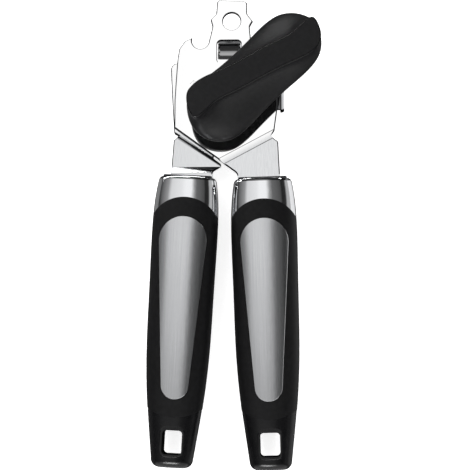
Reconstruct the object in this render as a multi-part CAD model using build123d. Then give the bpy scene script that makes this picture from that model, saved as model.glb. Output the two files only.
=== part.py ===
from build123d import *
import os
from math import sin, cos, tan, radians, degrees, atan2, pi

# ---------------------------------------------------------------- driving sizes (mm)
# Work frame: X to the right, Y towards the opener head, Z towards the turning knob.
# Z = 0 is the middle plane of both handles.

SHEET = 1.8                 # thickness of both lever plates
PLATE_GAP = 0.2             # air between the two lever plates
PITCH = SHEET + PLATE_GAP   # step from one plate level to the next
JOGGLE_RUN = 2.9            # length over which a plate steps from level to level
SHARP_RUN = 1.0             # the same for the sharper step of the rear plate
KNEE_R = 0.55               # radius of the bends in a step
RUN_FIT = 0.05              # radial clearance of everything that turns
TANG_FIT = 0.10             # clearance around a tang in its handle
AIR = 0.20                  # axial air between moving neighbours

HANDLE_LENGTH = 128.0
HANDLE_WIDTH = 29.3
HANDLE_THICK = 21.0
HANDLE_ROUND = 2.6          # exponent of the super-ellipse cross section
WALL = 3.4                  # soft grip wall over the rigid core
INLAY_THICK = 1.0
INLAY_PROUD = 0.15
INLAY_BEVEL = 0.4

HANDLE_GAP = 4.75           # air between the two ferrules at their mouths
HANDLE_MID = -4.45          # X of the middle of that gap
LEFT_MOUTH_Y = 26.25        # where the left handle starts
LEFT_TILT = -2.95           # its axis, degrees from +Y
RIGHT_MOUTH_Y = 25.35
RIGHT_TILT = 1.5
TANG_WIDTH = 19.0
TANG_DEPTH = 53.4           # length of tang hidden in a handle
TANG_INSET = 1.6            # tangs sit this much nearer the middle than the handles

FERRULE_ARCH = 10.0         # from the mouth to the top of the arch between ferrule and grip
FERRULE_ARCH_SIDE = 18.8
INLAY_SETBACK = 29.2        # from the mouth to the centre of the inlay's large end
INLAY_MARGIN = 3.85         # grip left beside the inlay at its widest
INLAY_LOW = 35.5            # centre of the small end of the inlay
INLAY_LOW_R = 6.3
SEAM_SIDE = 28.2            # seam between grip and end cap
SEAM_APEX = 21.6
HANG_Y = 10.9               # hanging hole in the end cap
HANG_W = 8.6
HANG_H = 10.3
HANG_DISH = 1.8             # shallow recess around the hole
CAP_STEP = 0.15             # end cap surface below the grip surface
EDGE_ROLL = 0.5             # rolled edge left by the blanking punch
EDGE_DROP = 0.9
HOLE_ROLL = 0.35
HOLE_DROP = 0.6
NOSE_WIDTH = 21.6           # rigid core showing at the mouth of a ferrule
NOSE_THICK = 9.0
NOSE_OUT = 0.6

DRIVE_X = 9.0               # axis of knob, drive gear and feed wheel
DRIVE_Y = 68.7
GEAR_MODULE = 1.0
GEAR_TEETH = 16
GEAR_BACKLASH = 0.36
GEAR_THICK = 2.5
MESH_ANGLE = 42.5           # direction from cutter axis to drive axis
PIVOT_OFFSET = 12.0         # from the mesh point to the lever pivot

FEED_R = 6.2
FEED_THICK = 4.0
FEED_TEETH = 30
CUTTER_BITE = 0.8           # radial overlap of cutter and feed wheel
CUTTER_THICK = 1.5
SHAFT_R = 3.5
SEAT_R = 3.2
SEAT_FLAT = 2.4
STUD_R = 3.0
PIVOT_R = 2.5

TAB_HOLE = (-1.5, 97.9)
TAB_HOLE_R = 4.0

KNOB_LIFT = 10.0            # underside of the knob wings above the face plate
KNOB_HEIGHT = 19.0          # height of the winged part
KNOB_HUB_R = 9.5

# ---------------------------------------------------------------- derived sizes

MOUTH_WIDTH = HANDLE_WIDTH * 0.865
LEFT_MOUTH = (HANDLE_MID - HANDLE_GAP / 2 - MOUTH_WIDTH / 2 - 1.68, LEFT_MOUTH_Y)
RIGHT_MOUTH = (HANDLE_MID + HANDLE_GAP / 2 + MOUTH_WIDTH / 2 + 1.66, RIGHT_MOUTH_Y)
LEFT_TANG_X = LEFT_MOUTH[0] + TANG_INSET
RIGHT_TANG_X = RIGHT_MOUTH[0] - TANG_INSET
FERRULE_APEX = HANDLE_LENGTH - FERRULE_ARCH
FERRULE_SIDE = HANDLE_LENGTH - FERRULE_ARCH_SIDE
INLAY_TOP = HANDLE_LENGTH - INLAY_SETBACK
INLAY_TOP_R = HANDLE_WIDTH / 2 - INLAY_MARGIN

GEAR_PITCH_R = GEAR_MODULE * GEAR_TEETH / 2
AXIS_GAP = 2 * GEAR_PITCH_R
MU = radians(MESH_ANGLE)
CUT_X = DRIVE_X - AXIS_GAP * cos(MU)
CUT_Y = DRIVE_Y - AXIS_GAP * sin(MU)
MESH_X = (DRIVE_X + CUT_X) / 2
MESH_Y = (DRIVE_Y + CUT_Y) / 2
PIV_X = MESH_X - PIVOT_OFFSET * sin(MU)
PIV_Y = MESH_Y + PIVOT_OFFSET * cos(MU)

FACE_Z = PITCH                          # middle of the face plate
FACE_TOP = FACE_Z + SHEET / 2
FACE_BACK = FACE_Z - SHEET / 2
REAR_BACK = -SHEET / 2
GEAR_TOP = REAR_BACK - AIR
GEAR_LOW = GEAR_TOP - GEAR_THICK
FEED_LOW = GEAR_LOW - FEED_THICK
CUTTER_TOP = FEED_LOW - AIR
CUTTER_LOW = CUTTER_TOP - CUTTER_THICK
CUTTER_R = AXIS_GAP - FEED_R + CUTTER_BITE
BUSH_R = SHAFT_R + RUN_FIT + 1.5
BUSH_FLANGE = 1.2
KNOB_BASE = FACE_TOP + BUSH_FLANGE + 0.9
WING_LOW = FACE_TOP + KNOB_LIFT
WING_TOP = WING_LOW + KNOB_HEIGHT

PARTS = {}


# ---------------------------------------------------------------- small helpers

def disc(x, y, r, z0, z1):
    return Pos(x, y, (z0 + z1) / 2) * Cylinder(r, z1 - z0)


def prism(points, z0, z1):
    face = make_face(Polyline(*points, close=True).edges())
    return Pos(0, 0, z0) * extrude(face, z1 - z0)


def at_handle(side):
    mouth = LEFT_MOUTH if side == "left" else RIGHT_MOUTH
    tilt = LEFT_TILT if side == "left" else RIGHT_TILT
    return Pos(mouth[0], mouth[1], 0) * Rot(0, 0, tilt) * Pos(0, -HANDLE_LENGTH, 0)


def only(shape):
    solids = shape.solids()
    solids.sort(key=lambda s: s.volume)
    return solids[-1]


def keep(name, shape):
    solids = shape.solids()
    big = max(s.volume for s in solids)
    kept = [s for s in solids if s.volume > big * 0.02]
    if len(kept) == 1:
        PARTS[name] = kept[0]
    else:
        PARTS[name] = Compound(children=kept)


# ---------------------------------------------------------------- lever plates

def stepped_sheet(px, py, angle, z_high, z_low, run):
    """A wide sheet that steps down by one level across a bend line.

    The line passes through (px, py) at the given angle; the sheet is at z_high on
    the side to the left of that direction and at z_low on the other side.
    """
    far = 260
    drop = z_high - z_low
    slope = atan2(drop, run)
    shift = SHEET * tan(slope / 2)
    half = SHEET / 2
    top = [(far, z_high + half), (0, z_high + half)]
    top += [(-run, z_low + half), (-far, z_low + half)]
    low = [(-far, z_low - half), (-run + shift, z_low - half)]
    low += [(shift, z_high - half), (far, z_high - half)]
    face = make_face(Polyline(*(top + low), close=True).edges())
    knees = [v for v in face.vertices() if abs(v.X) < far / 2]
    face = fillet(knees, KNEE_R)
    turn = radians(angle)
    across = Vector(-sin(turn), cos(turn), 0)
    along = Vector(cos(turn), sin(turn), 0)
    plane = Plane(origin=Vector(px, py, 0) - along * far, x_dir=across, z_dir=across.cross(Vector(0, 0, 1)))
    solid = extrude(plane * face, 2 * far)
    return solid


def past_knee(run):
    """Distance from the start of a step to flat sheet beyond its lower bend."""
    return run + KNEE_R * tan(atan2(PITCH, run) / 2) + 0.15


def soften(shape, corners, radius):
    """Round the upright edges of a plate blank nearest to the listed corners."""
    edges = shape.edges().filter_by(Axis.Z)
    picked = []
    for cx, cy in corners:
        near = min(edges, key=lambda e: (e.center().X - cx) ** 2 + (e.center().Y - cy) ** 2)
        picked.append(near)
    return fillet(picked, radius)


# The face plate: hook, hanging tab, drive bearing and the right-hand tang.
FACE_LEFT = [(-27.3, 48.8), (-27.3, 61.5), (-26.8, 70.0), (-26.1, 80.5)]
FACE_HOOK = [(-25.4, 85.2), (-22.8, 89.0), (-19.3, 90.45)]
FACE_NOTCH_C = (-15.7, 89.15)
FACE_NOTCH_R = 3.85
FACE_TAB_LEFT = [(-11.9, 88.6), (-11.2, 91.4), (-10.3, 95.6), (-11.2, 98.9), (-8.6, 101.6), (-8.1, 108.2)]
FACE_TAB_RIGHT = [(5.6, 107.3), (5.6, 101.3), (8.1, 97.9), (6.7, 95.4), (7.2, 89.6)]
FACE_RIGHT = [(9.6, 85.0), (16.6, 79.6), (19.2, 72.0), (19.1, 57.4), (17.7, 47.3), (15.9, 45.2)]
TANG_R_RIGHT = [(RIGHT_TANG_X + TANG_WIDTH / 2 - 0.8, 42.6), (RIGHT_TANG_X + TANG_WIDTH / 2, RIGHT_MOUTH_Y + 1.0)]
TANG_R_LEFT = [(RIGHT_TANG_X - TANG_WIDTH / 2, RIGHT_MOUTH_Y + 1.0), (RIGHT_TANG_X - TANG_WIDTH / 2 - 0.4, 28.3)]
BEND_FACE = (-8.0, 34.1, 28.1)          # bend line of the face plate: x, y, angle


def tang_tail(side, grow):
    """Hidden end of a tang in handle coordinates, moved to its handle."""
    half_width = TANG_WIDTH / 2 + grow
    top = HANDLE_LENGTH + 2
    low = HANDLE_LENGTH - TANG_DEPTH - grow
    narrow = TANG_WIDTH * 0.275 + grow
    shift = TANG_INSET if side == "left" else -TANG_INSET
    points = [(shift - half_width, top), (shift - half_width, HANDLE_LENGTH - 4)]
    points += [(-narrow, low + 12), (-narrow + 2, low), (narrow - 2, low), (narrow, low + 12)]
    points += [(shift + half_width, HANDLE_LENGTH - 4), (shift + half_width, top)]
    return at_handle(side) * prism(points, -4, 4)


def rolled(blank):
    """Round over the top outline of a flat blank as a blanking punch does."""
    top = blank.faces().sort_by(Axis.Z)[-1]
    return chamfer(top.edges(), EDGE_ROLL, EDGE_DROP, reference=top)


def beside(px, py, angle, side):
    """Large block on the left (+1) or right (-1) of a line through (px, py)."""
    block = Pos(0, side * 150, 0) * Box(600, 300, 30)
    return Pos(px, py, 0) * Rot(0, 0, angle) * block


def face_blank(top):
    points = list(FACE_LEFT)
    points += FACE_HOOK
    points.append((-17.5, 89.0))
    points += FACE_TAB_LEFT
    points += FACE_TAB_RIGHT
    points += FACE_RIGHT
    points += TANG_R_RIGHT
    points += TANG_R_LEFT
    blank = prism(points, -6, top)
    blank = soften(blank, [(-26.1, 80.5), (-25.4, 85.2), (-22.8, 89.0)], 3.0)
    blank = soften(blank, [(-8.1, 108.2), (5.6, 107.3)], 1.6)
    blank = soften(blank, [(-8.6, 101.6), (5.6, 101.3), (-10.3, 95.6), (6.7, 95.4)], 1.2)
    blank = soften(blank, [(9.6, 85.0), (16.6, 79.6), (19.2, 72.0), (7.2, 89.6)], 2.5)
    blank = soften(blank, [(-27.3, 48.8), (17.7, 47.3)], 0.8)
    blank = soften(blank, [TANG_R_LEFT[1]], 3.0)
    crown = disc(-1.2, 109.6 - 34.0, 34.0, -6, 6)
    low_part = prism([(-80, 60), (80, 60), (80, 100), (-80, 100)], -7, 7)
    low_part += prism([(-80, -60), (80, -60), (80, 60), (-80, 60)], -7, 7)
    blank = blank & (crown + low_part)
    blank = blank - disc(FACE_NOTCH_C[0], FACE_NOTCH_C[1], FACE_NOTCH_R, -7, 7)
    return only(blank)


LOUVER = (-8.1, 78.3, 2.8, 89.0)        # window for the bent-back tongue
LOUVER_R = 1.8


def louver_window():
    w = LOUVER[2] - LOUVER[0]
    h = LOUVER[3] - LOUVER[1]
    face = RectangleRounded(w, h, LOUVER_R)
    cx = (LOUVER[0] + LOUVER[2]) / 2
    cy = (LOUVER[1] + LOUVER[3]) / 2
    window = Pos(cx, cy, -6) * extrude(face, 12)
    mouth = Pos(cx, cy, FACE_TOP) * RectangleRounded(w + 0.6, h + 0.6, LOUVER_R + 0.3)
    neck = Pos(cx, cy, FACE_TOP - 0.5) * face
    return window + loft([neck, mouth])


# Curl of the tongue: distance from its hinge, drop below the face.
TONGUE_CURL = [(-0.4, 0.0), (1.2, 0.03), (2.4, 0.12), (3.4, 0.34), (4.6, 0.5), (5.7, 0.9), (6.9, 1.1),
               (8.1, 1.8), (9.2, 2.05), (11.2, 3.35)]


def louver_tongue():
    """Tongue hinged at the lower edge of the window and curled away behind it."""
    y0 = LOUVER[1]
    t = SHEET * 0.75
    points = [(y0 + v, FACE_TOP - drop) for v, drop in TONGUE_CURL]
    top = Spline(*points, tangents=((1, 0), (1, -0.5)))
    low = Pos(0, -t) * top
    ends = [Line(top @ 1, low @ 1), Line(low @ 0, top @ 0)]
    face = make_face([top, low] + ends)
    width = LOUVER[2] - LOUVER[0] - 0.7
    plane = Plane(origin=(LOUVER[0] + 0.35, 0, 0), x_dir=(0, 1, 0), z_dir=(1, 0, 0))
    return extrude(plane * face, width)


def turn_arrow():
    """Shallow stamped arrow beside the knob that shows which way to turn it."""
    z = FACE_TOP - 0.2
    r = 27.6
    ring = disc(DRIVE_X, DRIVE_Y, r + 0.2, z, z + 1) - disc(DRIVE_X, DRIVE_Y, r - 0.2, z - 1, z + 2)
    wedge = prism([(DRIVE_X, DRIVE_Y), (DRIVE_X - 40, DRIVE_Y + 1.5), (DRIVE_X - 40, DRIVE_Y - 16)], z, z + 1)
    arc = ring & wedge
    tip = (DRIVE_X - r, DRIVE_Y + 1.6)
    barb = Box(2.4, 0.4, 1.0)
    left = Pos(tip[0] - 0.8, tip[1] - 0.8, z + 0.5) * Rot(0, 0, 45) * barb
    right = Pos(tip[0] + 0.8, tip[1] - 0.8, z + 0.5) * Rot(0, 0, -45) * barb
    return arc + left + right


def make_face_plate():
    sheet = stepped_sheet(BEND_FACE[0], BEND_FACE[1], BEND_FACE[2], FACE_Z, 0, JOGGLE_RUN)
    turn = radians(BEND_FACE[2])
    step_x = BEND_FACE[0] + past_knee(JOGGLE_RUN) * sin(turn)
    step_y = BEND_FACE[1] - past_knee(JOGGLE_RUN) * cos(turn)
    head = rolled(face_blank(FACE_TOP)) & beside(step_x, step_y, BEND_FACE[2], 1)
    tang = rolled(face_blank(SHEET / 2)) & beside(step_x, step_y, BEND_FACE[2], -1)
    plate = only(sheet & (head + tang + tang_tail("right", 0)))
    plate -= disc(TAB_HOLE[0], TAB_HOLE[1], TAB_HOLE_R, 0, 6)
    roll = Cone(TAB_HOLE_R, TAB_HOLE_R + 2 * HOLE_ROLL, 2 * HOLE_DROP)
    plate -= Pos(TAB_HOLE[0], TAB_HOLE[1], FACE_TOP) * roll
    plate -= disc(DRIVE_X, DRIVE_Y, BUSH_R, 0, 6)
    plate -= disc(PIV_X, PIV_Y, PIVOT_R, 0, 6)
    plate -= louver_window()
    plate += louver_tongue()
    plate -= turn_arrow()
    plate -= tang_pin_shape("right")
    keep("face_plate", plate)


# The rear plate: carries the cutter and the left-hand tang.
REAR_LEFT = [(LEFT_TANG_X - TANG_WIDTH / 2, 26.2), (LEFT_TANG_X - TANG_WIDTH / 2 + 0.3, 32.5)]
REAR_LEFT += [(-27.9, 43.9), (-25.5, 45.6), (-27.6, 46.9), (-28.8, 66.9), (-29.4, 80.0)]
REAR_EDGE = [(-13.0, 76.2), (-3.0, 66.2)]
REAR_LOW = [(5.2, 57.0), (3.6, 49.0), (0.0, 42.6), (-9.4, 37.2), (-9.9, 35.2), (-5.8, 32.1)]
TANG_L = [(LEFT_TANG_X + TANG_WIDTH / 2 - 0.3, 29.1), (LEFT_TANG_X + TANG_WIDTH / 2, 26.2)]
BEND_REAR = (-9.6, 35.1, -33.4)
REAR_RETURN_Y = 31.4                    # where the tang starts to step back up


def rear_blank(top):
    points = list(REAR_LEFT)
    points += REAR_EDGE
    points += REAR_LOW
    points += TANG_L
    blank = prism(points, -6, top)
    blank = soften(blank, [(-29.4, 80.0)], 3.0)
    blank = soften(blank, [(-27.9, 43.9), (-5.8, 32.1), (-27.6, 46.9)], 0.8)
    blank = soften(blank, [TANG_L[0], (0.0, 42.6)], 2.5)
    blank += disc(PIV_X, PIV_Y, 6.4, -6, top)
    blank += disc(CUT_X, CUT_Y, 7.6, -6, top)
    return only(blank)


def make_rear_plate():
    top = rolled(rear_blank(SHEET / 2))
    dip = rolled(rear_blank(SHEET / 2 - PITCH))
    high = stepped_sheet(BEND_REAR[0], BEND_REAR[1], BEND_REAR[2], 0, -PITCH, SHARP_RUN)
    # second step, back up to the handle plane: the line runs right to left
    back = stepped_sheet(0, REAR_RETURN_Y - JOGGLE_RUN, 180, 0, -PITCH, JOGGLE_RUN)
    cut = REAR_RETURN_Y - JOGGLE_RUN + past_knee(JOGGLE_RUN)
    turn = radians(BEND_REAR[2])
    step_x = BEND_REAR[0] + past_knee(SHARP_RUN) * sin(turn)
    step_y = BEND_REAR[1] - past_knee(SHARP_RUN) * cos(turn)
    head = high & top & beside(step_x, step_y, BEND_REAR[2], 1) & beside(0, cut, 0, 1)
    shoulder = high & dip & beside(step_x, step_y, BEND_REAR[2], -1) & beside(0, cut, 0, 1)
    handle_side = beside(0, cut, 0, -1)
    tang = back & (top & handle_side)
    tail = back & (tang_tail("left", 0) & handle_side)
    plate = only(head + shoulder + tang + tail)
    plate -= disc(PIV_X, PIV_Y, PIVOT_R + RUN_FIT, -3, 3)
    plate -= cutter_stud_shape()
    plate -= tang_pin_shape("left")
    keep("rear_plate", plate)


# ---------------------------------------------------------------- pivot and bearing

def make_pivot():
    head = disc(PIV_X, PIV_Y, 3.7, FACE_TOP, FACE_TOP + 1.1)
    head = fillet(head.edges().group_by(Axis.Z)[-1], 0.6)
    low = REAR_BACK - 0.8
    shank = disc(PIV_X, PIV_Y, PIVOT_R, low - 0.01, FACE_TOP + 0.01)
    tail = disc(PIV_X, PIV_Y, 3.8, low - 1.0, low)
    tail = fillet(tail.edges().group_by(Axis.Z)[0], 0.6)
    keep("pivot_rivet", head + shank + tail)
    washer = disc(PIV_X, PIV_Y, 4.6, low, low + 0.7)
    keep("pivot_washer", washer - disc(PIV_X, PIV_Y, PIVOT_R, low - 1, low + 2))


def make_bushing():
    low = FACE_BACK - SHEET
    body = disc(DRIVE_X, DRIVE_Y, BUSH_R, low, FACE_TOP + 0.01)
    flange = disc(DRIVE_X, DRIVE_Y, 7.6, FACE_TOP, FACE_TOP + BUSH_FLANGE)
    flange = fillet(flange.edges().group_by(Axis.Z)[-1], 0.4)
    bore = disc(DRIVE_X, DRIVE_Y, SHAFT_R + RUN_FIT, low - 1, FACE_TOP + 3)
    keep("drive_bushing", body + flange - bore)


def make_rim_guide():
    """Formed piece behind the face plate whose lip rests on the can rim."""
    top = FACE_BACK
    low = top - SHEET
    edge = 22.2
    reach = 8.0
    outer_r = 2.6
    points = [(DRIVE_X, top), (edge, top), (edge, low - reach + SHEET)]
    points += [(edge - SHEET, low - reach + SHEET), (edge - SHEET, low), (DRIVE_X, low)]
    face = make_face(Polyline(*points, close=True).edges())
    out_v = [v for v in face.vertices() if v.X > edge - 0.1 and v.Y > top - 0.1]
    face = fillet(out_v, outer_r)
    in_v = [v for v in face.vertices() if abs(v.X - edge + SHEET) < 0.1 and abs(v.Y - low) < 0.1]
    face = fillet(in_v, outer_r - SHEET)
    plane = Plane(origin=(0, 90, 0), x_dir=(1, 0, 0), z_dir=(0, -1, 0))
    bent = extrude(plane * face, 60)
    points = [(DRIVE_X, DRIVE_Y + 6.8), (20.0, DRIVE_Y + 4.0), (edge + 1, DRIVE_Y + 4.0)]
    points += [(edge + 1, 59.0), (edge - 0.9, 57.2), (19.2, 57.2), (DRIVE_X, DRIVE_Y - 6.8)]
    blank = prism(points, -14, 6)
    strip = bent & blank
    toes = [e for e in strip.edges() if e.center().Z < low - reach + SHEET + 0.1 and abs(e.tangent_at(0).X) > 0.9]
    strip = fillet(toes, 1.6)
    ring = disc(DRIVE_X, DRIVE_Y, 6.8, low, top)
    guide = strip + ring
    guide -= disc(DRIVE_X, DRIVE_Y, BUSH_R, low - 1, top + 1)
    keep("rim_guide", guide)


# ---------------------------------------------------------------- turning parts

def double_d(x, y, z0, z1):
    core = disc(x, y, SEAT_R, z0, z1)
    return core & (Pos(x, y, (z0 + z1) / 2) * Box(4 * SEAT_R, 2 * SEAT_FLAT, z1 - z0 + 1))


def gear_blank(x, y, z0, z1, turn):
    outer = GEAR_PITCH_R + 0.93 * GEAR_MODULE
    root = GEAR_PITCH_R - 1.3 * GEAR_MODULE
    tooth = pi * GEAR_MODULE / 2 - GEAR_BACKLASH
    flank = tan(radians(22))
    h_root = tooth / 2 + 1.3 * GEAR_MODULE * flank
    h_tip = tooth / 2 - 0.93 * GEAR_MODULE * flank
    points = [(root - 0.5, h_root), (root, h_root), (outer, h_tip)]
    points += [(outer, -h_tip), (root, -h_root), (root - 0.5, -h_root)]
    one = make_face(Polyline(*points, close=True).edges())
    sketch = Circle(root)
    for i in range(GEAR_TEETH):
        sketch += Rot(0, 0, turn + 360 * i / GEAR_TEETH) * one
    return Pos(x, y, z0) * extrude(sketch, z1 - z0)


def serrated_wheel(x, y, r, count, depth, z0, z1):
    sketch = Circle(r)
    half = pi * r / count * 0.95
    notch = make_face(Polyline((r + 0.2, half), (r + 0.2, -half), (r - depth, 0), close=True).edges())
    for i in range(count):
        sketch -= Rot(0, 0, 360 * i / count) * notch
    return Pos(x, y, z0) * extrude(sketch, z1 - z0)


def make_drive():
    seat_low = FEED_LOW
    journal = disc(DRIVE_X, DRIVE_Y, SHAFT_R, GEAR_TOP, KNOB_BASE)
    top = WING_TOP - 8.0
    upper = double_d(DRIVE_X, DRIVE_Y, KNOB_BASE - 0.01, top)
    seat = double_d(DRIVE_X, DRIVE_Y, seat_low - 0.01, GEAR_TOP + 0.01)
    end = disc(DRIVE_X, DRIVE_Y, 4.2, seat_low - 0.9, seat_low)
    end = fillet(end.edges().group_by(Axis.Z)[0], 0.5)
    keep("drive_shaft", journal + upper + seat + end)
    hole = double_d(DRIVE_X, DRIVE_Y, FEED_LOW - 1, GEAR_TOP + 1)
    gear = gear_blank(DRIVE_X, DRIVE_Y, GEAR_LOW, GEAR_TOP, MESH_ANGLE + 180)
    keep("drive_gear", gear - hole)
    feed = serrated_wheel(DRIVE_X, DRIVE_Y, FEED_R, FEED_TEETH, 0.55, FEED_LOW, GEAR_LOW)
    keep("feed_wheel", feed - hole)
    washer = disc(DRIVE_X, DRIVE_Y, 7.2, KNOB_BASE - 0.8, KNOB_BASE)
    keep("knob_washer", washer - disc(DRIVE_X, DRIVE_Y, SHAFT_R, KNOB_BASE - 2, KNOB_BASE + 1))


def cutter_stud_shape():
    top = SHEET / 2
    body = disc(CUT_X, CUT_Y, STUD_R, CUTTER_LOW - 1.0, top)
    sink = Pos(CUT_X, CUT_Y, top - 0.6) * Cone(STUD_R, STUD_R + 1.2, 1.2)
    end = disc(CUT_X, CUT_Y, STUD_R + 1.3, CUTTER_LOW - 1.8, CUTTER_LOW - 0.95)
    end = fillet(end.edges().group_by(Axis.Z)[0], 0.4)
    return body + sink + end


def make_cutter():
    keep("cutter_stud", cutter_stud_shape())
    bore = disc(CUT_X, CUT_Y, STUD_R + RUN_FIT, CUTTER_LOW - 2, GEAR_TOP + 2)
    half_tooth = 180 / GEAR_TEETH
    gear = gear_blank(CUT_X, CUT_Y, GEAR_LOW, GEAR_TOP, MESH_ANGLE + half_tooth)
    keep("cutter_gear", gear - bore)
    hub = disc(CUT_X, CUT_Y, 5.0, CUTTER_TOP - 0.01, GEAR_LOW)
    blade = disc(CUT_X, CUT_Y, CUTTER_R, CUTTER_LOW, CUTTER_TOP)
    rim = blade.edges().group_by(Axis.Z)[0]
    blade = chamfer(rim, CUTTER_THICK - 0.2, 2.6)
    keep("cutter_wheel", blade + hub - bore)
    low = CUTTER_LOW - 0.95
    washer = disc(CUT_X, CUT_Y, STUD_R + 1.2, low, CUTTER_LOW - 0.1)
    keep("cutter_washer", washer - disc(CUT_X, CUT_Y, STUD_R, low - 1, CUTTER_LOW + 1))


# ---------------------------------------------------------------- turning knob

# Half outlines (the other half is the same turned by 180 degrees), matched point to point.
KNOB_TOP = [(-28.0, -9.5), (-24.5, -6.0), (-14.3, -0.9), (-1.5, 5.8), (9.5, 11.8),
            (17.5, 16.2), (22.0, 20.3), (25.3, 22.0), (28.0, 18.5), (29.0, 13.8)]
KNOB_LOW = [(-28.8, -10.0), (-25.1, -4.4), (-15.2, 4.7), (-2.5, 17.0), (5.5, 25.0),
            (10.2, 28.0), (15.8, 29.0), (22.0, 27.5), (27.0, 23.0), (29.3, 16.5)]


def knob_section(z, blend, grow):
    half = []
    for (ax, ay), (bx, by) in zip(KNOB_TOP, KNOB_LOW):
        x = (ax * (1 - blend) + bx * blend) * grow
        y = (ay * (1 - blend) + by * blend) * grow
        half.append((x, y, z))
    full = half + [(-x, -y, z) for x, y, z in half]
    return Wire([Spline(*full, periodic=True)])


def knob_wings():
    low = knob_section(WING_LOW, 1.0, 0.985)
    skirt = knob_section(WING_LOW + 2.5, 0.97, 1.0)
    waist = knob_section(WING_LOW + KNOB_HEIGHT * 0.55, 0.30, 0.995)
    top = knob_section(WING_TOP, 0.0, 1.0)
    body = Solid.make_loft([low, skirt, waist, top])
    body = fillet(body.edges().group_by(Axis.Z)[-1], 0.7)
    return Pos(DRIVE_X, DRIVE_Y, 0) * body


def make_knob():
    hub = disc(DRIVE_X, DRIVE_Y, KNOB_HUB_R, KNOB_BASE, WING_LOW)
    hub = fillet(hub.edges().group_by(Axis.Z)[0], 0.8)
    stem = disc(DRIVE_X, DRIVE_Y, 5.2, WING_LOW - 0.01, WING_TOP - 6.0)
    arm = Pos(DRIVE_X, DRIVE_Y, WING_LOW + 1.75) * Rot(0, 0, 45) * Box(34, 7, 3.5)
    core = hub + stem + arm
    core -= double_d(DRIVE_X, DRIVE_Y, KNOB_BASE - 1, WING_TOP - 8.0)
    keep("knob_core", core)
    wings = knob_wings() - core
    wings -= double_d(DRIVE_X, DRIVE_Y, KNOB_BASE - 1, WING_TOP - 8.0)
    keep("knob_grip", wings)


# ---------------------------------------------------------------- handles

# Stations along one handle: distance from the butt, share of width, share of thickness.
STATIONS = [(0.0, 0.610, 0.74), (12.0, 0.712, 0.79), (29.0, 0.850, 0.88), (55.0, 0.960, 0.97),
            (82.0, 0.985, 1.00), (106.4, 1.000, 0.95), (118.0, 0.962, 0.87), (128.0, 0.865, 0.79)]


def handle_section(v, half_w, half_t):
    points = []
    count = 16
    power = 2 / HANDLE_ROUND
    for i in range(count):
        a = 2 * pi * i / count
        c = cos(a)
        s = sin(a)
        x = half_w * (abs(c) ** power) * (1 if c > 0 else -1)
        z = half_t * (abs(s) ** power) * (1 if s > 0 else -1)
        points.append((x, v, z))
    return Wire([Spline(*points, periodic=True)])


def handle_form(grow):
    scale = HANDLE_LENGTH / 128.0
    wires = []
    for v, w, t in STATIONS:
        half_w = HANDLE_WIDTH * w / 2 + grow
        half_t = HANDLE_THICK * t / 2 + grow
        wires.append(handle_section(v * scale, half_w, half_t))
    return Solid.make_loft(wires)


def outer_form(grow):
    body = handle_form(grow)
    ends = body.edges().group_by(Axis.Y)
    body = fillet(ends[0], 3.6)
    ends = body.edges().group_by(Axis.Y)
    return fillet(ends[-1], 2.0)


def above(side_v, apex_v, up):
    """Everything on the butt side (or head side) of an arch across the handle."""
    w = HANDLE_WIDTH * 0.51
    arc = ThreePointArc((-w, side_v), (0, apex_v), (w, side_v))
    reach = 60
    far = apex_v + 200 if up else apex_v - 200
    lines = [Line((w, side_v), (w + reach, side_v)), Line((w + reach, side_v), (w + reach, far))]
    lines += [Line((w + reach, far), (-w - reach, far)), Line((-w - reach, far), (-w - reach, side_v))]
    lines += [Line((-w - reach, side_v), (-w, side_v))]
    face = make_face([arc] + lines)
    return Pos(0, 0, -40) * extrude(face, 80)


def inlay_outline(grow):
    big = Pos(0, INLAY_TOP) * Circle(INLAY_TOP_R + grow)
    small = Pos(0, INLAY_LOW) * Circle(INLAY_LOW_R + grow)
    return make_hull((big + small).edges())


def core_form():
    low = SEAM_APEX - 2.2
    high = HANDLE_LENGTH - 4.0
    slab = Pos(0, (low + high) / 2, 0) * Box(80, high - low, 80)
    reach = HANDLE_LENGTH + NOSE_OUT - high + 1.0
    nose = Box(NOSE_WIDTH, reach, NOSE_THICK)
    nose = fillet(nose.edges().filter_by(Axis.Y), 1.5)
    nose = Pos(0, high - 1.0 + reach / 2, 0) * nose
    return (handle_form(-WALL) & slab) + nose


def tang_slot(side):
    half = SHEET / 2 + TANG_FIT
    wide = tang_tail(side, TANG_FIT)
    return wide & prism([(-90, -60), (90, -60), (90, 60), (-90, 60)], -half, half)


def tang_pin_shape(side):
    pins = None
    for v in (HANDLE_LENGTH - TANG_DEPTH * 0.42, HANDLE_LENGTH - TANG_DEPTH * 0.73):
        pin = at_handle(side) * (Pos(0, v, 0) * Cylinder(1.6, 9.0))
        pins = pin if pins is None else pins + pin
    return pins


def hang_cut():
    hole = Pos(0, HANG_Y, -30) * extrude(RectangleRounded(HANG_W, HANG_H, 1.6), 60)
    dish = RectangleRounded(HANG_W + 1.6, HANG_H + 1.6, 2.2)
    wide = RectangleRounded(HANG_W + 1.6 + 2 * HANG_DISH, HANG_H + 1.6 + 2 * HANG_DISH, 2.2 + HANG_DISH)
    low = HANDLE_THICK * 0.785 / 2 - 0.9
    front = Pos(0, HANG_Y, 0) * loft([Pos(0, 0, low) * dish, Pos(0, 0, low + HANG_DISH) * wide])
    back = mirror(front, Plane.XY)
    return hole + front + back


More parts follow.
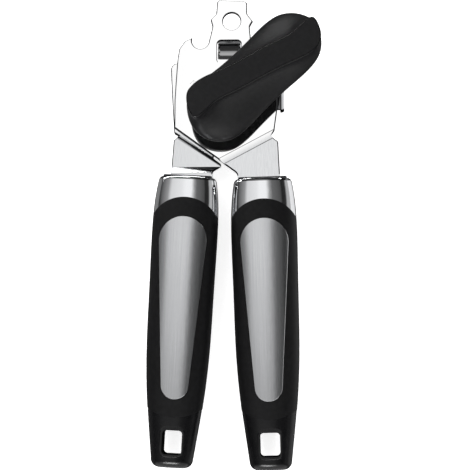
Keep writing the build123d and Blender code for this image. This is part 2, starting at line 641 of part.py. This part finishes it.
def make_handle(side, outer, cap_form, core):
    place = at_handle(side)
    slot = tang_slot(side)
    pins = tang_pin_shape(side)
    head = above(FERRULE_SIDE, FERRULE_APEX, True)
    butt = above(SEAM_SIDE, SEAM_APEX, False)
    ferrule = outer & head
    ferrule -= core
    keep(side + "_ferrule", place * ferrule - slot)
    cap = (cap_form & butt) - core
    cap -= hang_cut()
    keep(side + "_end_cap", place * cap)
    shell = outer - head - butt - core
    pocket_floor = handle_form(-INLAY_THICK)
    window = Pos(0, 0, 0) * extrude(inlay_outline(0.0), 40)
    shell -= window - pocket_floor
    keep(side + "_grip", place * shell)
    plate = (handle_form(INLAY_PROUD) - pocket_floor) & window
    rim = plate.faces().sort_by(Axis.Z)[-1].outer_wire().edges()
    plate = chamfer(rim, INLAY_BEVEL)
    keep(side + "_inlay", place * plate)
    rigid = place * core
    rigid -= slot
    rigid -= pins
    keep(side + "_core", rigid)
    keep(side + "_tang_pins", pins)


def make_handles():
    outer = outer_form(0)
    cap_form = outer_form(-CAP_STEP)
    core = core_form()
    make_handle("right", outer, cap_form, core)
    make_handle("left", outer, cap_form, core)


# ---------------------------------------------------------------- assembly

def save_all():
    box = Compound(children=[copy_of(s) for s in PARTS.values()]).bounding_box()
    shift = Pos(-(box.min.X + box.max.X) / 2, -(box.min.Y + box.max.Y) / 2, -box.min.Z)
    os.makedirs("parts", exist_ok=True)
    for name, shape in PARTS.items():
        export_step(shift * shape, "parts/" + name + ".step")
    print("shift", shift.position)
    print("size", box.size)
    for label, x, y in (("drive", DRIVE_X, DRIVE_Y), ("cutter", CUT_X, CUT_Y), ("pivot", PIV_X, PIV_Y)):
        print(label, shift.position + Vector(x, y, 0))
    print("tab hole", shift.position + Vector(TAB_HOLE[0], TAB_HOLE[1], FACE_TOP))


def copy_of(shape):
    return Pos(0, 0, 0) * shape


make_face_plate()
make_rear_plate()
make_pivot()
make_bushing()
make_rim_guide()
make_drive()
make_cutter()
make_knob()
make_handles()
save_all()
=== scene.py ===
# %% [markdown]
# # A hand-held can opener
# The opener lies on its back with the turning knob up. All metal and plastic
# shapes come from the engineering model, so this lesson is about finishes: how
# polished plate, chromed sleeves, brushed inlays and soft black grips are told
# apart by the way they hold light. Everything is in metres.

# %% Load the engineering model
import bpy
import math
from mathutils import Matrix, Vector


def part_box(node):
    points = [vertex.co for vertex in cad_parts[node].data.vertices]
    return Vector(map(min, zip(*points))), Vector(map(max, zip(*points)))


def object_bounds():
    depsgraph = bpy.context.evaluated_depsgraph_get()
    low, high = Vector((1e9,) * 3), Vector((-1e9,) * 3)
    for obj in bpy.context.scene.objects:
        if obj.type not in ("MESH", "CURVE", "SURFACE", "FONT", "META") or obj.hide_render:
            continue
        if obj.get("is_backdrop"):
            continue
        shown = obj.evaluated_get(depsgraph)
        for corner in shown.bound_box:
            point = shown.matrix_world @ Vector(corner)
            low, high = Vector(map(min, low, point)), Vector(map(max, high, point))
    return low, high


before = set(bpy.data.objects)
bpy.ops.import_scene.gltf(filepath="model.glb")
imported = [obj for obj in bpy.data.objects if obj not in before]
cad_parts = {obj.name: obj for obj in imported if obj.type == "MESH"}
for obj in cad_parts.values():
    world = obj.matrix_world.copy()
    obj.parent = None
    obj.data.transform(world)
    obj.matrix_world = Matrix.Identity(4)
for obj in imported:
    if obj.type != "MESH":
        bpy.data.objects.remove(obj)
cad_low, cad_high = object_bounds()
centre = (cad_low + cad_high) / 2
print("opener box", [round(v, 4) for v in (*cad_low, *cad_high)])

# %% [markdown]
# ## Two small helpers
# Colours are written as the hex values a paint chart would give, and turned to
# linear light once. A material is a graph of nodes, and one function adds a
# node with its settings and links, so a graph reads from top to bottom.


# %% Colour and node helpers
def linear(hex_text):
    parts = [int(hex_text[i:i + 2], 16) / 255 for i in (0, 2, 4)]
    return [c / 12.92 if c <= 0.04045 else ((c + 0.055) / 1.055) ** 2.4 for c in parts] + [1.0]


def new_finish(name):
    finish = bpy.data.materials.new(name)
    finish.use_nodes = True
    tree = finish.node_tree
    return finish, tree, tree.nodes["Principled BSDF"]


def add(tree, kind, settings=None, **links):
    node = tree.nodes.new(kind)
    for key, value in (settings or {}).items():
        if key in node.inputs:
            node.inputs[key].default_value = value
        else:
            setattr(node, key, value)
    for key, source in links.items():
        wanted = int(key[1:]) if key[0] == "_" else key.replace("_", " ")
        tree.links.new(source, node.inputs[wanted])
    return node


def ramp(node, stops):
    band = node.color_ramp
    while len(band.elements) < len(stops):
        band.elements.new(0.5)
    for element, (place, colour) in zip(band.elements, stops):
        element.position = place
        element.color = colour
    return node


# %% [markdown]
# ## Polished chromium plate
# The lever plates are stamped from sheet steel, polished and chromium plated.
# The flat faces act as mirrors. The sheared edges were never polished, so they
# stay dull, and their colour is darkened to near black as painted shade: that thin
# dark line is what draws the outline of a mirror that reflects a white room. The
# edge is found by the surface normal: where it points mostly sideways, the wall
# is a cut edge. The tangs lie lower than the head and are only satin, so the
# height tells the two apart. A trace of rolling grain runs along the sheet, about
# 0.25 mm from line to line.
#
# A height or a length, in metres, says where satin ends and mirror begins. The
# other values are upward parts of the normal, roughnesses and lines per metre.


# %% Mirror plate with dull sheared edges and painted edge shade
EDGE_BELOW, FACE_ABOVE = 0.53, 0.62
SATIN_ROUGH, MIRROR_ROUGH, SHEARED_ROUGH = 0.10, 0.04, 0.45
GRAIN = (4000, 260, 400)


def plate_finish(name, axis, satin_at, mirror_at):
    finish, tree, skin = new_finish(name)
    place = add(tree, "ShaderNodeTexCoord")
    up = add(tree, "ShaderNodeSeparateXYZ", Vector=place.outputs["Normal"])
    flat = add(tree, "ShaderNodeMath", {"operation": "ABSOLUTE"}, _0=up.outputs["Z"])
    edge = ramp(add(tree, "ShaderNodeValToRGB", Fac=flat.outputs[0]),
                [(EDGE_BELOW, (0, 0, 0, 1)), (FACE_ABOVE, (1, 1, 1, 1))])
    spot = add(tree, "ShaderNodeSeparateXYZ", Vector=place.outputs["Object"])
    level = add(tree, "ShaderNodeMapRange", {"From Min": satin_at, "From Max": mirror_at},
                Value=spot.outputs[axis])
    along = add(tree, "ShaderNodeMapping", {"Scale": GRAIN}, Vector=place.outputs["Object"])
    lines = add(tree, "ShaderNodeTexNoise", {"Scale": 1.0, "Detail": 4.0}, Vector=along.outputs[0])
    satin = ramp(add(tree, "ShaderNodeValToRGB", Fac=lines.outputs[0]),
                 [(0.30, linear("d0d1d3")), (0.70, linear("dcddde"))])
    face = add(tree, "ShaderNodeMix", {"data_type": "RGBA"}, _0=level.outputs[0])
    tree.links.new(satin.outputs["Color"], face.inputs[6])
    face.inputs[7].default_value = linear("fafafa")
    # painted shade: walls that face sideways get a near-black colour, which draws the dark outline
    # of the plate
    painted_edge_shade = add(tree, "ShaderNodeMix", {"data_type": "RGBA"}, _0=edge.outputs["Color"])
    painted_edge_shade.inputs[6].default_value = linear("2c2d2f")
    tree.links.new(face.outputs[2], painted_edge_shade.inputs[7])
    tree.links.new(painted_edge_shade.outputs[2], skin.inputs["Base Color"])
    rough = add(tree, "ShaderNodeMapRange", {"To Min": SATIN_ROUGH, "To Max": MIRROR_ROUGH},
                Value=level.outputs[0])
    both = add(tree, "ShaderNodeMix", {"data_type": "FLOAT"}, _0=edge.outputs["Color"])
    both.inputs[2].default_value = SHEARED_ROUGH
    tree.links.new(rough.outputs[0], both.inputs[3])
    tree.links.new(both.outputs[0], skin.inputs["Roughness"])
    relief = add(tree, "ShaderNodeBump", {"Strength": 0.06, "Distance": 0.00002},
                 Height=lines.outputs[0])
    tree.links.new(relief.outputs[0], skin.inputs["Normal"])
    skin.inputs["Metallic"].default_value = 1.0
    return finish


sheet_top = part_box("face_plate")[1].z
mirror_plate = plate_finish("polished_chromium_plate", "Z", sheet_top - 0.0019, sheet_top - 0.0004)
satin_plate = plate_finish("part_polished_chromium_plate", "Y", 0.0431, 0.0461)
print("plate top at", round(sheet_top * 1000, 2), "mm")


# %% [markdown]
# ## Chromed ferrules
# The sleeves at the top of each handle are bright chrome. Chrome has no colour
# of its own, so the finish is a near-white metal with very low roughness and a
# faint waviness, about 6 mm across, from the polishing wheel. The bent lip of
# the rim guide was plated after bending and gets the same finish.

# %% Bright chrome
bright_chrome, tree, skin = new_finish("bright_chrome_sleeve")
place = add(tree, "ShaderNodeTexCoord")
wave = add(tree, "ShaderNodeTexNoise", {"Scale": 160.0, "Detail": 1.0},
           Vector=place.outputs["Object"])
relief = add(tree, "ShaderNodeBump", {"Strength": 0.03, "Distance": 0.0004}, Height=wave.outputs[0])
tree.links.new(relief.outputs[0], skin.inputs["Normal"])
skin.inputs["Base Color"].default_value = linear("e6e7e9")
skin.inputs["Metallic"].default_value = 1.0
skin.inputs["Roughness"].default_value = 0.07
print("chrome", bright_chrome.name)

# %% [markdown]
# ## Lengthwise brushed stainless inlay
# The teardrop inlays were drawn along an abrasive belt, which leaves fine
# scratches along the handle. Real scratches are near 0.05 mm apart, too fine
# to show, so they are drawn 0.14 mm apart. They spread a highlight sideways,
# and this is why such a face goes from light to dark across its width. Each
# handle leans a little, and its scratches are turned by the same angle.


# %% Brushed inlay
SCRATCHES = (7000, 30, 500)
LEFT_LEAN, RIGHT_LEAN = 2.95, -1.5


def brushed_finish(name, tilt):
    finish, tree, skin = new_finish(name)
    place = add(tree, "ShaderNodeTexCoord")
    turn = add(tree, "ShaderNodeMapping", {"Rotation": (0, 0, math.radians(tilt))},
               Vector=place.outputs["Object"])
    along = add(tree, "ShaderNodeMapping", {"Scale": SCRATCHES}, Vector=turn.outputs[0])
    scratch = add(tree, "ShaderNodeTexNoise", {"Scale": 1.0, "Detail": 4.0, "Roughness": 0.7},
                  Vector=along.outputs[0])
    tone = ramp(add(tree, "ShaderNodeValToRGB", Fac=scratch.outputs[0]),
                [(0.3, linear("c8c9cb")), (0.7, linear("dadbdd"))])
    tree.links.new(tone.outputs["Color"], skin.inputs["Base Color"])
    rough = add(tree, "ShaderNodeMapRange", {"To Min": 0.18, "To Max": 0.28},
                Value=scratch.outputs[0])
    tree.links.new(rough.outputs[0], skin.inputs["Roughness"])
    relief = add(tree, "ShaderNodeBump", {"Strength": 0.22, "Distance": 0.00004},
                 Height=scratch.outputs[0])
    tree.links.new(relief.outputs[0], skin.inputs["Normal"])
    skin.inputs["Metallic"].default_value = 1.0
    return finish


left_brushed = brushed_finish("brushed_stainless_left", LEFT_LEAN)
right_brushed = brushed_finish("brushed_stainless_right", RIGHT_LEAN)
print("scratch spacing", round(1000 / SCRATCHES[0], 2), "mm")


# %% [markdown]
# ## Black elastomer and nylon
# The grips and the knob are a soft rubber-like plastic moulded in a blasted
# tool. It is never quite black: a fine pebble of about 0.3 mm scatters light
# into a soft grey sheen. Its gloss is kept low, as on any blasted soft plastic.
# The end caps are harder nylon with a tighter gloss. The pattern starts six
# pebbles wide and its finer octaves reach the pebble itself.


# %% Moulded black plastics
COARSEST = 6
PEBBLE_DEPTH = 0.00005


def moulded(name, dark_hex, light_hex, rough_low, rough_high, pebble_mm, depth, gloss):
    finish, tree, skin = new_finish(name)
    place = add(tree, "ShaderNodeTexCoord")
    grain = {"Scale": 1000 / pebble_mm / COARSEST, "Detail": 6.0, "Roughness": 0.65}
    pebble = add(tree, "ShaderNodeTexNoise", grain, Vector=place.outputs["Object"])
    cloud = add(tree, "ShaderNodeTexNoise", {"Scale": 60.0, "Detail": 2.0},
                Vector=place.outputs["Object"])
    tone = ramp(add(tree, "ShaderNodeValToRGB", Fac=pebble.outputs[0]),
                [(0.35, linear(dark_hex)), (0.7, linear(light_hex))])
    tree.links.new(tone.outputs["Color"], skin.inputs["Base Color"])
    rough = add(tree, "ShaderNodeMapRange", {"To Min": rough_low, "To Max": rough_high},
                Value=cloud.outputs[0])
    tree.links.new(rough.outputs[0], skin.inputs["Roughness"])
    relief = add(tree, "ShaderNodeBump", {"Strength": depth, "Distance": PEBBLE_DEPTH},
                 Height=pebble.outputs[0])
    tree.links.new(relief.outputs[0], skin.inputs["Normal"])
    skin.inputs["Specular IOR Level"].default_value = gloss
    print(name, "pebble", pebble_mm, "mm")
    return finish


grip_rubber = moulded("moulded_elastomer_grip", "0a0a0b", "121213", 0.42, 0.54, 0.30, 0.25, 0.20)
knob_rubber = moulded("moulded_elastomer_knob", "0c0c0d", "151516", 0.38, 0.48, 0.30, 0.25, 0.26)
cap_nylon = moulded("moulded_nylon_cap", "08080a", "0f0f10", 0.22, 0.30, 0.35, 0.12, 0.36)
core_nylon = moulded("glass_filled_nylon_core", "17171a", "202023", 0.45, 0.60, 0.50, 0.30, 0.30)
washer_nylon = moulded("natural_nylon_washer", "c9c5b8", "d8d4c8", 0.40, 0.50, 0.50, 0.10, 0.50)

# %% [markdown]
# ## Worn edge of the knob
# Fingers burnish the upper edge of a turning knob, and this thin smooth line
# is what catches the light along its crease. The edge is found twice over: it
# lies in the last millimetre of height, and its normal has begun to turn over.
# Where both hold, the blasted roughness gives way to a polished one.

# %% Burnished knob edge
EDGE_STARTS, EDGE_FULL = 0.0009, 0.0007
BURNISHED_ROUGH = 0.20
knob_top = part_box("knob_grip")[1].z
tree = knob_rubber.node_tree
skin = tree.nodes["Principled BSDF"]
place = add(tree, "ShaderNodeTexCoord")
spot = add(tree, "ShaderNodeSeparateXYZ", Vector=place.outputs["Object"])
up = add(tree, "ShaderNodeSeparateXYZ", Vector=place.outputs["Normal"])
high = add(tree, "ShaderNodeMapRange",
           {"From Min": knob_top - EDGE_STARTS, "From Max": knob_top - EDGE_FULL},
           Value=spot.outputs["Z"])
turned_over = add(tree, "ShaderNodeMapRange", {"From Min": 0.995, "From Max": 0.96},
                  Value=up.outputs["Z"])
burnish = add(tree, "ShaderNodeMath", {"operation": "MULTIPLY"},
              _0=high.outputs[0], _1=turned_over.outputs[0])
worn = add(tree, "ShaderNodeMix", {"data_type": "FLOAT"}, _0=burnish.outputs[0])
tree.links.new(skin.inputs["Roughness"].links[0].from_socket, worn.inputs[2])
worn.inputs[3].default_value = BURNISHED_ROUGH
tree.links.new(worn.outputs[0], skin.inputs["Roughness"])
print("knob top at", round(knob_top * 1000, 1), "mm")

# %% [markdown]
# ## Turned and ground steel
# Shafts, rivets and wheels are bare steel from a lathe or a grinder, plated
# thinly. They are greyer than chrome and show fine specks, 0.4 mm apart, which
# both the colour and the relief follow.


# %% Steel for the mechanism
def steel_finish(name, dark_hex, light_hex, rough):
    finish, tree, skin = new_finish(name)
    place = add(tree, "ShaderNodeTexCoord")
    speck = add(tree, "ShaderNodeTexNoise", {"Scale": 2500.0, "Detail": 2.0},
                Vector=place.outputs["Object"])
    tone = ramp(add(tree, "ShaderNodeValToRGB", Fac=speck.outputs[0]),
                [(0.35, linear(dark_hex)), (0.65, linear(light_hex))])
    tree.links.new(tone.outputs["Color"], skin.inputs["Base Color"])
    relief = add(tree, "ShaderNodeBump", {"Strength": 0.15, "Distance": 0.00003},
                 Height=speck.outputs[0])
    tree.links.new(relief.outputs[0], skin.inputs["Normal"])
    skin.inputs["Metallic"].default_value = 1.0
    skin.inputs["Roughness"].default_value = rough
    return finish


turned_steel = steel_finish("turned_steel", "b3b4b6", "c8c9cb", 0.28)
ground_steel = steel_finish("hardened_ground_steel", "9c9da0", "b4b5b8", 0.22)
print("steels", turned_steel.name, ground_steel.name)

# %% [markdown]
# ## One finish for each part
# A real opener uses few materials many times: two plastics for everything soft
# and stiff, one plated sheet, one chrome, two steels. A table from part to
# finish says so plainly, and no part can be forgotten.

# %% Dress every engineering part
wardrobe = {
    "face_plate": mirror_plate, "rear_plate": satin_plate, "rim_guide": bright_chrome,
    "pivot_rivet": turned_steel, "pivot_washer": turned_steel, "drive_bushing": turned_steel,
    "drive_shaft": turned_steel, "drive_gear": turned_steel, "feed_wheel": ground_steel,
    "knob_washer": washer_nylon, "cutter_stud": turned_steel, "cutter_gear": turned_steel,
    "cutter_wheel": ground_steel, "cutter_washer": turned_steel,
    "knob_core": core_nylon, "knob_grip": knob_rubber,
    "left_ferrule": bright_chrome, "right_ferrule": bright_chrome,
    "left_end_cap": cap_nylon, "right_end_cap": cap_nylon,
    "left_grip": grip_rubber, "right_grip": grip_rubber,
    "left_inlay": left_brushed, "right_inlay": right_brushed,
    "left_core": core_nylon, "right_core": core_nylon,
    "left_tang_pins": turned_steel, "right_tang_pins": turned_steel,
}
for node_name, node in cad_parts.items():
    node.data.materials.clear()
    node.data.materials.append(wardrobe[node_name])
print("dressed", len(wardrobe), "parts")

# %% [markdown]
# ## Floor
# A white acrylic table, lit softly from below as for catalogue work, so nearly
# no shadow is left and the hanging holes show white. It is only a plane, a
# little below the opener, and it is marked as stage.

# %% Pale floor
FLOOR_SIZE, FLOOR_GAP = 6.0, 0.0002
GLOW = 0.72
bpy.ops.object.select_all(action="DESELECT")
bpy.ops.mesh.primitive_plane_add(size=FLOOR_SIZE, location=(0, 0, cad_low.z - FLOOR_GAP))
floor = bpy.context.object
floor.name = "acrylic_table"
acrylic, tree, skin = new_finish("lit_white_acrylic")
skin.inputs["Base Color"].default_value = linear("f6f6f6")
skin.inputs["Roughness"].default_value = 0.9
skin.inputs["Specular IOR Level"].default_value = 0.1
skin.inputs["Emission Color"].default_value = (1, 1, 1, 1)
skin.inputs["Emission Strength"].default_value = GLOW
floor.data.materials.append(acrylic)
floor.visible_glossy = False
floor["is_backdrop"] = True
print("floor", round(floor.location.z * 1000, 2), "mm")

# %% [markdown]
# ## The room that chrome sees
# Chrome shows its surroundings, so the room matters more than the lamps. For
# reflections the room is white overhead, grey to the left and dark to the
# right, with black flags and a grey card beyond the head end, a white card
# beyond the butt end and a slim card far to the right: a common way to light
# cutlery. Each list gives a direction from -1 to 1 and the brightness there.
# The table takes no part in reflections, and straight down is black, so the
# walls of deep holes stay dark. Matte things get an even white instead.

# %% Room
world = bpy.data.worlds.new("studio_room")
bpy.context.scene.world = world
world.use_nodes = True
room = world.node_tree
room.nodes.clear()
look = add(room, "ShaderNodeTexCoord")
axes = add(room, "ShaderNodeSeparateXYZ", Vector=look.outputs["Generated"])


def stripes(axis, stops):
    span = add(room, "ShaderNodeMapRange", {"From Min": -1.0, "From Max": 1.0},
               Value=axes.outputs[axis])
    marks = [((at + 1) / 2, (tone, tone, tone, 1)) for at, tone in stops]
    return ramp(add(room, "ShaderNodeValToRGB", Fac=span.outputs[0]), marks)


left_to_middle = [(-1.0, 0.30), (-0.975, 0.03), (-0.93, 0.06), (-0.88, 0.14), (-0.58, 0.36),
                  (-0.44, 0.80), (-0.12, 0.95), (-0.06, 1.08)]
middle_to_right = [(0.03, 1.08), (0.10, 0.40), (0.18, 0.16), (0.52, 0.08), (0.60, 0.02),
                   (0.80, 0.03), (0.88, 0.50), (0.96, 0.50), (1.0, 0.05)]
butt_to_head = [(-0.50, 0.05), (-0.42, 0.5), (-0.12, 0.5), (0.12, 1.0), (0.40, 1.0), (0.46, 0.04),
                (0.58, 0.04), (0.63, 0.38), (0.69, 0.38), (0.75, 0.03), (0.93, 0.03), (0.97, 0.40)]
across = stripes("X", left_to_middle + middle_to_right)
along = stripes("Y", butt_to_head)
ground = stripes("X", [(-1.0, 0.22), (-0.3, 0.34), (0.3, 0.75), (1.0, 1.0)])
pit = stripes("Z", [(-0.86, 0.0), (-0.70, 1.0)])
front = stripes("Y", [(-0.68, 1.0), (-0.58, 0.0)])
print("room stripes", len(across.color_ramp.elements), len(along.color_ramp.elements))

# %% [markdown]
# ## Joining the stripes
# The stripes are joined the way flags and cards are stacked: a flag takes
# light away, so it multiplies; a card adds its own, so the lighter one wins.
# Below the horizon the ground replaces the room. Only mirror rays see all
# this; every other ray finds a plain white room.

# %% Flags, cards and the choice of ray
EVEN_WHITE = 0.85
below = add(room, "ShaderNodeMapRange", {"From Min": 0.02, "From Max": -0.04},
            Value=axes.outputs["Z"])
whole = add(room, "ShaderNodeMix", {"data_type": "RGBA"}, _0=below.outputs[0],
            _6=across.outputs["Color"], _7=ground.outputs["Color"])
banded = add(room, "ShaderNodeMix", {"data_type": "RGBA", "blend_type": "MULTIPLY"},
             _6=whole.outputs[2], _7=along.outputs["Color"])
carded = add(room, "ShaderNodeMix", {"data_type": "RGBA", "blend_type": "LIGHTEN"},
             _6=banded.outputs[2], _7=front.outputs["Color"])
sky = add(room, "ShaderNodeMix", {"data_type": "RGBA", "blend_type": "MULTIPLY"},
          _6=carded.outputs[2], _7=pit.outputs["Color"])
for blend in (banded, carded, sky):
    blend.inputs[0].default_value = 1.0
ray = add(room, "ShaderNodeLightPath")
plain = add(room, "ShaderNodeBackground", {"Strength": EVEN_WHITE})
plain.inputs["Color"].default_value = (1, 1, 1, 1)
mirror_room = add(room, "ShaderNodeBackground", {"Strength": 1.0}, Color=sky.outputs[2])
choice = add(room, "ShaderNodeMixShader", _0=ray.outputs["Is Glossy Ray"], _1=plain.outputs[0],
             _2=mirror_room.outputs[0])
add(room, "ShaderNodeOutputWorld", Surface=choice.outputs[0])
print("room nodes", len(room.nodes))

# %% [markdown]
# ## Lamps
# Two soft boxes light the matte plastics and don't show in the chrome. Two
# narrow strips do the opposite: one beyond the head draws bright lines along
# the edges, one over the butt ends puts a small sheen on the caps. Places and
# sizes are in metres, powers in watts.


# %% Lamps
def lamp(name, place, aim, size, power):
    light = bpy.data.lights.new(name, "AREA")
    light.shape = "RECTANGLE"
    light.size, light.size_y = size
    light.energy = power
    holder = bpy.data.objects.new(name, light)
    bpy.context.scene.collection.objects.link(holder)
    holder.location = place
    holder.rotation_mode = "QUATERNION"
    holder.rotation_quaternion = (Vector(aim) - Vector(place)).to_track_quat("-Z", "Y")
    return holder


key = lamp("key_softbox", (-0.45, 0.35, 0.75), centre, (0.5, 0.5), 5.0)
fill = lamp("fill_softbox", (0.55, -0.25, 0.6), centre, (0.5, 0.4), 1.6)
rim = lamp("rim_strip", (-0.25, 0.75, 0.20), centre, (1.7, 0.06), 5.0)
sweep = lamp("butt_strip", (-0.10, -0.66, 0.46), (0, -0.1, 0), (0.32, 0.13), 3.2)
for box in (key, fill):
    box.visible_glossy = False
for box in (rim, sweep):
    box.visible_diffuse = False
print("lamps", [box.name for box in (key, fill, rim, sweep)])

# %% [markdown]
# ## Camera
# A long lens about half a metre above, standing a little towards the handle
# ends, so the knob leans up the frame and the handles are seen square on.

# %% Camera
TARGET = (0.0003, -0.0027, 0.0140)
FROM_TARGET = (0.0177, -0.0687, 0.532)
FOCAL_MM = 92.7
lens = bpy.data.cameras.new("studio_camera")
camera = bpy.data.objects.new("studio_camera", lens)
bpy.context.scene.collection.objects.link(camera)
bpy.context.scene.camera = camera
lens.sensor_width = 36.0
lens.lens = FOCAL_MM
target = Vector(TARGET)
camera.location = target + Vector(FROM_TARGET)
forward = (target - camera.location).normalized()
right = forward.cross(Vector((0, 1, 0))).normalized()
above = right.cross(forward)
camera.rotation_mode = "QUATERNION"
camera.rotation_quaternion = Matrix((right, above, -forward)).transposed().to_quaternion()
lens.clip_start = 0.01
lens.clip_end = 20.0
bpy.context.scene.view_settings.view_transform = "Standard"
print("camera height", round(camera.location.z, 3), "m")

# %% [markdown]
# ## Sizes of what is seen
# Finishes never change a shape, so the box of what is seen has to equal
# the box of the engineering model.

# %% Measure the box of what is seen
low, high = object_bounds()
